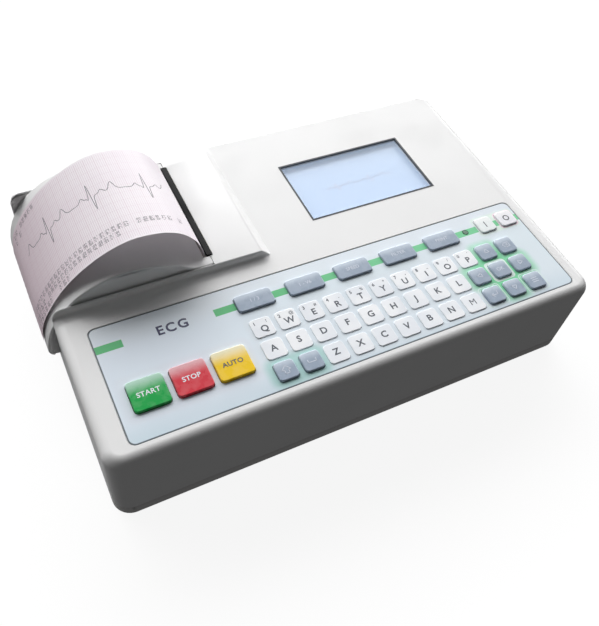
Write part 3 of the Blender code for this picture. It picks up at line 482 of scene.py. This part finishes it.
class Ink:
    """Printed marks as thin closed shapes lying on a level of the machine."""

    SUNK = 0.02

    def __init__(self, level, thick=0.03):
        self.bm = bmesh.new()
        self.level, self.thick = level, thick

    def point(self, x, y, top):
        return world(x, y, self.level + (self.thick if top else -self.SUNK))

    def prism(self, outline):
        """Flat closed shape with the outline's sides."""
        low = [self.bm.verts.new(self.point(x, y, False)) for x, y in outline]
        high = [self.bm.verts.new(self.point(x, y, True)) for x, y in outline]
        self.bm.faces.new(high)
        self.bm.faces.new(low[::-1])
        for i, corner in enumerate(low):
            j = (i + 1) % len(low)
            self.bm.faces.new((corner, low[j], high[j], high[i]))

    def stroke(self, points, width, closed=False):
        """Line of even width, made of one bar for each side; a closed one joins its ends."""
        half = width / 2
        spots = [Vector(p) for p in points]
        if closed:
            spots = spots + [spots[0]]
        for a, b in zip(spots, spots[1:]):
            along = (b - a).normalized()
            side = Vector((-along.y, along.x)) * half
            a, b = a - along * half * 0.8, b + along * half * 0.8
            self.prism([a - side, b - side, b + side, a + side])

    def text(self, words, x, y, height, weight, spacing=1.0):
        """Words centred on a point, with capitals of the given height."""
        curve = bpy.data.curves.new("words", "FONT")
        curve.body = words
        curve.size = height / CAPITAL_SHARE * MM
        curve.offset = weight * height * MM
        curve.space_character = spacing
        curve.align_x, curve.align_y = "CENTER", "CENTER"
        curve.resolution_u = 3
        curve.extrude = (self.thick + self.SUNK) / 2 * MM
        holder = bpy.data.objects.new("words", curve)
        SCENE.collection.objects.link(holder)
        seen = holder.evaluated_get(bpy.context.evaluated_depsgraph_get())
        mesh = bpy.data.meshes.new_from_object(seen)
        bpy.data.objects.remove(holder)
        level = self.level + (self.thick - self.SUNK) / 2
        mesh.transform(Matrix.Translation(world(x, y, level)))
        self.bm.from_mesh(mesh)
        bpy.data.meshes.remove(mesh)
        bpy.data.curves.remove(curve)

    def piece(self, name, body, look):
        """Everything drawn so far, as one visible piece."""
        bmesh.ops.remove_doubles(self.bm, verts=self.bm.verts, dist=1e-8)
        bmesh.ops.recalc_face_normals(self.bm, faces=self.bm.faces)
        mesh = bpy.data.meshes.new(name)
        self.bm.to_mesh(mesh)
        self.bm.free()
        return piece_from(mesh, name, body, look)


def ink_look(name, colour):
    """Screen print: slightly uneven cover and a faint raised texture."""
    look = Look(name, colour)
    thin = look.ramp(look.noise(1.2, 3.0), 0.4, 0.8, 0.0, 0.22)
    pale = tuple(c + (1 - c) * 0.35 for c in colour[:3]) + (1.0,)
    look.colour(look.mix(colour, pale, thin))
    look.bump((look.noise(3.0, 1.0), 0.004))
    return look.material


# ------------------------------------------------------------------ case and fixed parts
CASE = moulded("case_plastic", srgb(238, 238, 238), 0.42, mottle=0.012)
LID = moulded("lid_plastic", srgb(236, 236, 236), 0.42, mottle=0.012)
BASE = moulded("base_plastic", srgb(228, 227, 226), 0.5, mottle=0.02)
BLACK = moulded("black_plastic", srgb(12, 12, 13), 0.7, mottle=0.1, Specular_IOR_Level=0.2)
CRADLE = moulded("cradle_plastic", srgb(150, 152, 156), 0.5, mottle=0.04)
RUBBER = moulded("foot_rubber", srgb(52, 52, 55), 0.75, grain=0.6, mottle=0.1)
ROLLER = moulded("roller_rubber", srgb(34, 34, 36), 0.62, grain=0.8, mottle=0.12)
ACETAL = moulded("gear_plastic", srgb(226, 222, 212), 0.38, mottle=0.03)
CERAMIC = moulded("head_ceramic", srgb(198, 192, 182), 0.25, grain=0.9, mottle=0.03)
STEEL = metal("steel", srgb(192, 194, 198))
ALUMINIUM = metal("heat_sink_aluminium", srgb(206, 208, 212), 0.38)
BRASS = metal("pinion_brass", srgb(214, 178, 92), 0.28, (12.0, 1.0, 12.0))
FILM = film_look()
BOARD = board_look()

smooth_shell("top_case", "case", CASE)
smooth_shell("bottom_case", "case", BASE)
smooth_shell("paper_lid", "lid", LID)
smooth_shell("keypad_overlay", "case", FILM, 50)
repaint(BASE, "battery_door")
repaint(BOARD, "keypad_board", "main_board")
repaint(display_look(), "lcd_panel")
repaint(battery_look(), "battery_pack")
repaint(BLACK, "tear_bar", "power_inlet")
repaint(CERAMIC, "print_head")
repaint(ALUMINIUM, "head_heat_sink")
repaint(STEEL, "lcd_frame", "head_spring", "printer_frame", "patient_connector",
        "lid_hinge_pin_front", "lid_hinge_pin_rear")
smooth_shell("feed_motor", "case", STEEL)
smooth_shell("equipotential_pin", "case", STEEL)
smooth_shell("platen_shaft", "platen", STEEL)
smooth_shell("platen_roller", "platen", ROLLER)
smooth_shell("paper_roll", "roll", roll_look())
smooth_shell("roll_core", "roll", CRADLE)
smooth_shell("paper_cradle", "case", CRADLE, 30)
repaint(ACETAL, "platen_gear", "idler_gear")
repaint(BRASS, "motor_pinion")
for corner in ("front_left", "front_right", "rear_left", "rear_right"):
    smooth_shell("foot_" + corner, "case", RUBBER, 50)
    smooth_shell("case_screw_" + corner, "case", STEEL, 50)


def window_look():
    """Clear window with a slight blue cast and faint wiping marks."""
    look = Look("display_lens", (0.92, 0.96, 1.0, 1.0), 0.03, IOR=1.45)
    look.shader.inputs["Alpha"].default_value = 0.1
    smear = look.noise(0.06, 4.0, (1.0, 3.0, 1.0))
    look.roughness(look.ramp(smear, 0.35, 0.8, 0.02, 0.09))
    look.bump((look.noise(0.1, 1.0), 0.002))
    return look.material


repaint(window_look(), "display_window")


def display_border_and_shade():
    """Thin dark ring round the window's edge, at and under the console: partly the display's
    grey border, partly painted shade of the recess wall under the window.
    """
    outside, inside, sunk, proud = 0.75, -0.25, 0.9, 0.1
    low, high = node_mm("display_window")
    rings = []
    for grow in (outside, inside):
        rings.append([(low.x - grow, low.y - grow), (high.x + grow, low.y - grow),
                      (high.x + grow, high.y + grow), (low.x - grow, high.y + grow)])
    bm = bmesh.new()
    level = [[[bm.verts.new(world(x, y, z)) for x, y in ring] for ring in rings]
             for z in (CONSOLE_Z - sunk, CONSOLE_Z + proud)]
    for i in range(4):
        j = (i + 1) % 4
        (low_out, low_in), (top_out, top_in) = level
        for quad in ((low_out[i], low_out[j], top_out[j], top_out[i]),
                     (top_out[i], top_out[j], top_in[j], top_in[i]),
                     (top_in[i], top_in[j], low_in[j], low_in[i]),
                     (low_in[i], low_in[j], low_out[j], low_out[i])):
            bm.faces.new(quad)
    mesh = bpy.data.meshes.new("display_border_and_shade")
    bm.to_mesh(mesh)
    bm.free()
    # dark grey: the border's own colour, darkened so that it also stands for the shaded recess
    # wall
    border_and_shade_look = moulded("border_and_shade_paint", srgb(58, 62, 70), 0.6, mottle=0.1)
    return piece_from(mesh, "display_border_and_shade", "case", border_and_shade_look)


display_border_and_shade()


def led_look():
    """Unlit green lens over the status lamp."""
    look = Look("led_lens", srgb(96, 132, 112), 0.15, Coat_Weight=0.5)
    core = look.ramp(look.noise(0.9, 2.0), 0.35, 0.7)
    look.colour(look.mix(srgb(78, 116, 96), srgb(120, 150, 132), core))
    look.bump((look.noise(1.5, 1.0), 0.01))
    return look.material


smooth_shell("status_led", "case", led_look(), 50)


# ------------------------------------------------------------------ keys and their labels
DARK_INK = ink_look("legend_dark", srgb(66, 74, 86))
WHITE_INK = ink_look("legend_white", srgb(236, 240, 246))
PALE_INK = ink_look("legend_pale", srgb(206, 213, 226))
NAVY_INK = ink_look("legend_navy", srgb(52, 56, 92))
# Each key: material name, its own colour at the front edge, and the paler colour of its painted
# sheen towards the back edge.
GREY_KEY_AND_SHEEN = ("key_grey", srgb(160, 174, 192), srgb(206, 217, 230))
KEY_COLOURS_AND_SHEENS = {"start": ("key_green", srgb(20, 168, 76), srgb(196, 230, 214)),
               "stop": ("key_red", srgb(218, 58, 72), srgb(240, 190, 196)),
               "auto": ("key_yellow", srgb(250, 208, 34), srgb(250, 244, 214)),
               "on": ("key_white", srgb(240, 246, 246), srgb(250, 252, 252)),
               "off": ("key_white", srgb(242, 242, 248), srgb(252, 250, 252))}
KEY_INKS = {"start": WHITE_INK, "stop": WHITE_INK, "auto": DARK_INK, "on": DARK_INK,
            "off": DARK_INK}
FUNCTION_WORDS = {"f1": "1 / 3", "f2": "1 - V6", "f3": "SPEED", "f4": "FILTER", "f5": "PRINT"}
ARROW_TURNS = {"right": 0, "up": 90, "left": 180, "down": 270}
BOLD, PLAIN = 0.03, 0.02
LETTER_HIGH, DIGIT_HIGH, SIGN_HIGH = 3.5, 1.9, 1.7


def arrow(ink, x, y, turn, size=1.6):
    """Outlined triangle that points along an angle."""
    corners = [(x + size * math.cos(math.radians(turn + a)) * 1.05,
                y + size * math.sin(math.radians(turn + a))) for a in (0, 125, 235)]
    ink.stroke(corners, 0.42, True)


def draw_label(ink, name, x, y):
    """Word or sign of one raised key."""
    if name in ("start", "stop", "auto"):
        ink.text(name.upper(), x, y - 0.2, 2.5, BOLD, 1.05)
    elif name in FUNCTION_WORDS:
        ink.text(FUNCTION_WORDS[name], x, y, 2.0, 0.015)
    elif name == "on":
        ink.stroke([(x, y - 1.7), (x, y + 1.7)], 0.55)
    elif name == "off":
        ring = [(x + 1.6 * math.cos(math.radians(a)), y + 1.6 * math.sin(math.radians(a)))
                for a in range(0, 360, 20)]
        ink.stroke(ring, 0.5, True)
    elif name == "ok":
        ink.text("OK", x, y, 2.2, PLAIN)
    elif name in ARROW_TURNS:
        arrow(ink, x, y, ARROW_TURNS[name])
    elif name == "clear":
        ink.stroke([(x - 2.1, y), (x - 0.7, y + 1.4), (x + 2.0, y + 1.4), (x + 2.0, y - 1.4),
                    (x - 0.7, y - 1.4)], 0.36, True)
        ink.stroke([(x - 0.1, y + 0.6), (x + 1.1, y - 0.6)], 0.34)
        ink.stroke([(x - 0.1, y - 0.6), (x + 1.1, y + 0.6)], 0.34)
    elif name == "enter":
        ink.stroke([(x + 1.9, y + 1.4), (x + 1.9, y - 0.4), (x - 1.4, y - 0.4)], 0.4)
        ink.stroke([(x - 0.5, y + 0.6), (x - 1.6, y - 0.4), (x - 0.5, y - 1.4)], 0.4)
    elif name == "menu":
        for rise in (-1.2, 0.0, 1.2):
            ink.stroke([(x - 1.7, y + rise), (x + 1.7, y + rise)], 0.42)
    elif name == "shift":
        ink.stroke([(x - 2.2, y - 0.1), (x, y + 2.2), (x + 2.2, y - 0.1), (x + 1.0, y - 0.1),
                    (x + 1.0, y - 1.9), (x - 1.0, y - 1.9), (x - 1.0, y - 0.1)], 0.36, True)
    elif name == "space":
        ink.stroke([(x - 2.0, y + 0.7), (x - 2.0, y - 0.7), (x + 2.0, y - 0.7),
                    (x + 2.0, y + 0.7)], 0.42)


for node in sorted(n for n in NODES if n.startswith("key_")):
    name = node[4:]
    slot_name, front, back = KEY_COLOURS_AND_SHEENS.get(name, GREY_KEY_AND_SHEEN)
    smooth_shell(node, node, key_cap("cap_" + name, node, front, back), 50)
    low, high = node_mm(node)
    centre = middle_of(low, high)
    label = Ink(high.z)
    draw_label(label, name, centre.x, centre.y)
    label.piece(node + "_label", node, KEY_INKS.get(name, PALE_INK))


ROWS = ("QWERTYUIOP", "ASDFGHJKL", "ZXCVBNM")
DIGITS, SIGNS = "1234567890", "!@#,%*-_/'"
letters = Ink(PAD_TOP)
for row, (line, first) in enumerate(zip(ROWS, (0, 0, 2))):
    for i, letter in enumerate(line):
        x, y = GRID_X + PITCH_X * (first + i), GRID_Y - PITCH_Y * row
        if row == 0:
            letters.text(letter, x + 0.7, y - 1.1, LETTER_HIGH, BOLD)
            letters.text(DIGITS[i], x - 3.1, y + 2.7, DIGIT_HIGH, BOLD)
            letters.text(SIGNS[i], x + 3.0, y + 2.8, SIGN_HIGH, 0.01)
        else:
            # a bold M folds over itself at its sharp corners
            letters.text(letter, x, y + 0.2, LETTER_HIGH, 0.0 if letter == "M" else BOLD)
letters.piece("letter_legends", "case", DARK_INK)

title = Ink(FILM_TOP)
title.text("ECG", -80.5, STRIPE_Y, 5.0, 0.035, 1.25)
title.piece("panel_title", "case", NAVY_INK)


# ------------------------------------------------------------------ chart paper
def smooth_path(knots, steps):
    """Points on a Catmull-Rom curve through the knots."""
    ends = [knots[0], *knots, knots[-1]]
    path = []
    for a, b, c, d in zip(ends, ends[1:], ends[2:], ends[3:]):
        for i in range(steps):
            t = i / steps
            path.append(Vector([0.5 * (2 * q + (r - p) * t + (2 * p - 5 * q + 4 * r - s) * t ** 2
                                       + (3 * q - p - 3 * r + s) * t ** 3)
                                for p, q, r, s in zip(a, b, c, d)]))
    return path + [Vector(knots[-1])]


class Chart:
    """The paper's path, as places at a length along it and a height off its face."""

    def __init__(self):
        self.path = smooth_path(PAPER_KNOTS, 12)
        self.reach = [0.0]
        for a, b in zip(self.path, self.path[1:]):
            self.reach.append(self.reach[-1] + (b - a).length)
        self.length = self.reach[-1]

    def at(self, s, y, lift=0.0):
        s = min(max(s, 0.0), self.length)
        i = next(k for k in range(1, len(self.reach)) if self.reach[k] >= s - 1e-9)
        share = (s - self.reach[i - 1]) / (self.reach[i] - self.reach[i - 1])
        spot = self.path[i - 1].lerp(self.path[i], share)
        before, after = self.path[max(i - 2, 0)], self.path[min(i + 1, len(self.path) - 1)]
        along = (after - before).normalized()
        out = Vector((along.y, -along.x)) * lift
        return world(spot.x + out.x, y, spot.y + out.y)


CHART = Chart()
PAPER_T = 0.1
PRINT_LIFT = 0.085
SHEET_COLUMNS, SHEET_STEP = 30, 1.6
TORN_TOOTH = 0.5
BEAT_AT, BEAT_PERIOD = 85.6, 26.8
TRACE_START, TRACE_END, TRACE_STEP = 21.5, 105.0, 0.35
TRACE_Y, TRACE_HALF = 41.0, 0.15
DOT_PITCH_S, DOT_PITCH_Y, DOT_SHARE = 0.42, 0.44, 0.34


def paper_sheet():
    """Thin closed strip on the chart's path, its free end torn on the bar's teeth."""
    columns, rows = SHEET_COLUMNS, int(CHART.length / SHEET_STEP)
    bm = bmesh.new()
    uv = bm.loops.layers.uv.new("chart")
    layers, spots = [], {}
    for lift in (PAPER_T / 2, -PAPER_T / 2):
        grid = []
        for r in range(rows + 1):
            line = []
            for c in range(columns + 1):
                y = PAPER_FRONT + (PAPER_BACK - PAPER_FRONT) * c / columns
                s = CHART.length * r / rows
                if r == rows and c % 2:
                    s -= TORN_TOOTH
                vert = bm.verts.new(CHART.at(s, y, lift))
                spots[vert] = (s, y - PAPER_FRONT)
                line.append(vert)
            grid.append(line)
        layers.append(grid)
    for side, grid in enumerate(layers):
        for a, b in zip(grid, grid[1:]):
            for c in range(columns):
                quad = (a[c], a[c + 1], b[c + 1], b[c])
                bm.faces.new(quad if side == 0 else quad[::-1])
    top, under = layers
    rim = ([(r, 0) for r in range(rows + 1)] + [(rows, c) for c in range(1, columns + 1)]
           + [(r, columns) for r in range(rows - 1, -1, -1)]
           + [(0, c) for c in range(columns - 1, 0, -1)])
    for (r0, c0), (r1, c1) in zip(rim, rim[1:] + rim[:1]):
        bm.faces.new((top[r0][c0], top[r1][c1], under[r1][c1], under[r0][c0]))
    bmesh.ops.recalc_face_normals(bm, faces=bm.faces)
    for face in bm.faces:
        for loop in face.loops:
            loop[uv].uv = spots[loop.vert]
    mesh = bpy.data.meshes.new("paper_sheet")
    bm.to_mesh(mesh)
    bm.free()
    return piece_from(mesh, "paper_sheet", "lid", paper_look(), 60)


def beat(phase):
    """Height in millimetres of one heartbeat at a share of its cycle."""
    waves = ((0.13, 0.045, 2.2), (0.255, 0.014, -1.4), (0.300, 0.018, 9.5),
             (0.345, 0.020, -9.0), (0.52, 0.050, 2.0), (0.72, 0.060, 5.0))
    return sum(h * math.exp(-((phase - at) / width) ** 2) for at, width, h in waves)


def paper_trace():
    """Printed heartbeats as a thin ribbon that follows the paper."""
    rng = random.Random(7)
    bm = bmesh.new()
    points = []
    for i in range(int((TRACE_END - TRACE_START) / TRACE_STEP)):
        s = TRACE_START + TRACE_STEP * i
        phase = ((BEAT_AT - s) / BEAT_PERIOD + 0.3) % 1.0
        drift = 0.045 * (s - TRACE_START) + 0.5 * math.sin(s / 7.0)
        points.append((s, TRACE_Y + beat(phase) + drift + rng.uniform(-0.14, 0.14)))
    previous = None
    for i, (s, y) in enumerate(points):
        a, b = points[max(i - 1, 0)], points[min(i + 1, len(points) - 1)]
        along = Vector((b[0] - a[0], b[1] - a[1])).normalized()
        ds, dy = -along.y * TRACE_HALF, along.x * TRACE_HALF
        pair = [bm.verts.new(CHART.at(s + ds, y + dy, PRINT_LIFT)),
                bm.verts.new(CHART.at(s - ds, y - dy, PRINT_LIFT))]
        if previous:
            bm.faces.new((previous[0], previous[1], pair[1], pair[0]))
        previous = pair
    mesh = bpy.data.meshes.new("paper_trace")
    bmesh.ops.recalc_face_normals(bm, faces=bm.faces)
    bm.to_mesh(mesh)
    bm.free()
    return piece_from(mesh, "paper_trace", "lid",
                      ink_look("thermal_print", srgb(96, 88, 100)))


def paper_characters():
    """Rows of dot-matrix marks beside the trace, in shapes that spell nothing."""
    rng = random.Random(11)
    bm = bmesh.new()
    half_s, half_y = DOT_PITCH_S * DOT_SHARE, DOT_PITCH_Y * DOT_SHARE

    def dot(s, y):
        """One square of ink."""
        corners = [(s - half_s, y - half_y), (s + half_s, y - half_y), (s + half_s, y + half_y),
                   (s - half_s, y + half_y)]
        bm.faces.new([bm.verts.new(CHART.at(a, b, PRINT_LIFT)) for a, b in corners])

    def mark(s, y, glyph):
        """Five by seven dots, one row of bits at a time."""
        for row, bits in enumerate(glyph):
            for column in range(5):
                if bits >> (4 - column) & 1:
                    dot(s - DOT_PITCH_S * column, y - DOT_PITCH_Y * row)

    glyphs = []
    for _ in range(18):
        left = [rng.choice((0b10000, 0b11000, 0b01000, 0b11100)) for _ in range(7)]
        glyph = [bits | rng.choice((0b00001, 0b00010, 0b00100, 0, 0b00011)) for bits in left]
        glyph[0] |= rng.choice((0b01110, 0b11111, 0))
        glyph[6] |= rng.choice((0b01110, 0b11111, 0))
        glyphs.append(glyph)
    rows = ((20.3, 10, 22, 0.12), (16.4, 8, 52, 0.16), (12.5, 8, 82, 0.2), (66.5, 14, 88, 0.2),
            (62.6, 14, 100, 0.25))
    for y, margin, last, skip in rows:
        s = CHART.length - margin
        while s > last:
            if rng.random() > skip:
                mark(s, y, rng.choice(glyphs))
            s -= DOT_PITCH_S * 7.2
    mesh = bpy.data.meshes.new("paper_characters")
    bm.to_mesh(mesh)
    bm.free()
    return piece_from(mesh, "paper_characters", "lid",
                      ink_look("thermal_marks", srgb(98, 88, 102)))


paper = paper_sheet()
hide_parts("paper_strip")
trace = paper_trace()
characters = paper_characters()


# ------------------------------------------------------------------ small additions
def display_trace():
    """Faint curve on the display."""
    low, high = node_mm("lcd_panel")
    ink = Ink(high.z, 0.02)
    x0, x1, base = low.x + 20, high.x - 16, low.y + 21
    points, x = [], x0
    while x < x1:
        points.append((x, base + 0.4125 * beat(((x - x0) / 21.0) % 1.0)))
        x += 0.5
    ink.stroke(points, 0.28)
    return ink.piece("display_trace", "case",
                     ink_look("display_ink", srgb(206, 196, 212)))


display_trace()


def connector_contacts():
    """Two rows of gold contacts in the patient connector's face."""
    middle_x, top_z, pitch, row_drop, long = 9.0, -0.4, 2.74, 3.0, 1.4
    back = node_mm("patient_connector")[1].y
    bm = bmesh.new()
    for row, count in ((0, 8), (1, 7)):
        for i in range(count):
            x = middle_x + (i - (count - 1) / 2) * pitch
            z = top_z - row_drop * row
            made = bmesh.ops.create_cone(bm, cap_ends=True, segments=12, radius1=0.5 * MM,
                                         radius2=0.42 * MM, depth=long * MM)
            turn = Matrix.Rotation(-math.pi / 2, 4, "X")
            place = Matrix.Translation(world(x, back - 1.6, z))
            bmesh.ops.transform(bm, matrix=place @ turn, verts=made["verts"])
    mesh = bpy.data.meshes.new("connector_contacts")
    bm.to_mesh(mesh)
    bm.free()
    gold = metal("contact_gold", srgb(222, 188, 110), 0.25)
    return piece_from(mesh, "connector_contacts", "case", gold, 40)


connector_contacts()


# ------------------------------------------------------------------ floor, light and camera
def floor():
    """Plain pale floor, and its light kept off the case's walls."""
    reach, drop, glow, tones = 3.0, 0.0002, 0.9, (0.145, 0.155)
    mesh = bpy.data.meshes.new("floor")
    mesh.from_pydata([(-reach, -reach, 0), (reach, -reach, 0), (reach, reach, 0),
                      (-reach, reach, 0)], [], [(0, 1, 2, 3)])
    made = bpy.data.objects.new("floor", mesh)
    SCENE.collection.objects.link(made)
    made.location.z = CAD_BOX[0][2] - drop
    look = Look("floor_paint", (0.15, 0.15, 0.15, 1.0), 0.9, Specular_IOR_Level=0.0)
    tone = look.ramp(look.noise(0.004, 2.0), 0.3, 0.7)
    look.colour(look.mix((tones[0],) * 3 + (1,), (tones[1],) * 3 + (1,), tone))
    look.shader.inputs["Emission Color"].default_value = (1, 1, 1, 1)
    look.shader.inputs["Emission Strength"].default_value = glow
    mesh.materials.append(look.material)
    made.visible_diffuse = False
    made.visible_glossy = False


floor()

SKY_LIT, SKY_DIM, SKY_LEAN, SKY_SIDE, SKY_NARROW = 5.7, 0.085, 0.75, 0.2, 0.75


def sky():
    """Soft studio light from above and behind; the side towards the operator stays dim."""
    made = bpy.data.worlds.new("studio")
    SCENE.world = made
    made.use_nodes = True
    tree = made.node_tree
    back = tree.nodes["Background"]
    seen = tree.nodes.new("ShaderNodeTexCoord").outputs["Generated"]
    split = tree.nodes.new("ShaderNodeSeparateXYZ")
    tree.links.new(seen, split.inputs[0])

    def step(value, low, high):
        ranged = tree.nodes.new("ShaderNodeMapRange")
        ranged.interpolation_type = "SMOOTHSTEP"
        tree.links.new(value, ranged.inputs["Value"])
        for key, number in (("From Min", low), ("From Max", high)):
            ranged.inputs[key].default_value = number
        return ranged.outputs[0]

    def combine(operation, *values):
        made = tree.nodes.new("ShaderNodeMath")
        made.operation = operation
        for socket, value in zip(made.inputs, values):
            if isinstance(value, bpy.types.NodeSocket):
                tree.links.new(value, socket)
            else:
                socket.default_value = value
        return made.outputs[0]

    behind = combine("MULTIPLY_ADD", split.outputs["Z"], -SKY_LEAN, split.outputs["Y"])
    lit = combine("MULTIPLY", step(behind, -0.2, 0.3), step(split.outputs["Z"], -0.05, 0.1))
    sideways = combine("SUBTRACT", split.outputs["X"], SKY_SIDE)
    sideways = combine("MULTIPLY", sideways, sideways)
    lit = combine("MULTIPLY", lit, combine("MAXIMUM", combine(
        "MULTIPLY_ADD", sideways, -SKY_NARROW, 1.0), 0.0))
    strength = tree.nodes.new("ShaderNodeMapRange")
    tree.links.new(lit, strength.inputs["Value"])
    strength.inputs["To Min"].default_value = SKY_DIM
    strength.inputs["To Max"].default_value = SKY_LIT
    ray = tree.nodes.new("ShaderNodeLightPath")
    pick = tree.nodes.new("ShaderNodeMix")
    pick.data_type = "FLOAT"
    tree.links.new(ray.outputs["Is Camera Ray"], pick.inputs["Factor"])
    tree.links.new(strength.outputs[0], pick.inputs["A"])
    pick.inputs["B"].default_value = 1.0
    tree.links.new(pick.outputs[0], back.inputs["Strength"])
    back.inputs["Color"].default_value = (1, 1, 1, 1)


sky()
SCENE.view_settings.view_transform = "Standard"

CAMERA_AT = world(-137.59, -207.67, 299.79)
TURN, DOWN, ROLL = math.radians(34.13), math.radians(52.81), math.radians(9.84)
LENS = 41.04


def camera():
    """Operator's view from the front left, turned, dipped and rolled by the three angles."""
    ahead = Vector((math.sin(TURN) * math.cos(DOWN), math.cos(TURN) * math.cos(DOWN),
                    -math.sin(DOWN)))
    level = ahead.cross(Vector((0, 0, 1))).normalized()
    upright = level.cross(ahead)
    right = level * math.cos(ROLL) + upright * math.sin(ROLL)
    above = upright * math.cos(ROLL) - level * math.sin(ROLL)
    data = bpy.data.cameras.new("camera")
    data.lens = LENS
    data.sensor_width = 36.0
    data.clip_start = 0.01
    made = bpy.data.objects.new("camera", data)
    SCENE.collection.objects.link(made)
    turn = Matrix((right, above, -ahead)).transposed()
    made.matrix_world = Matrix.Translation(CAMERA_AT) @ turn.to_4x4()
    SCENE.camera = made


camera()
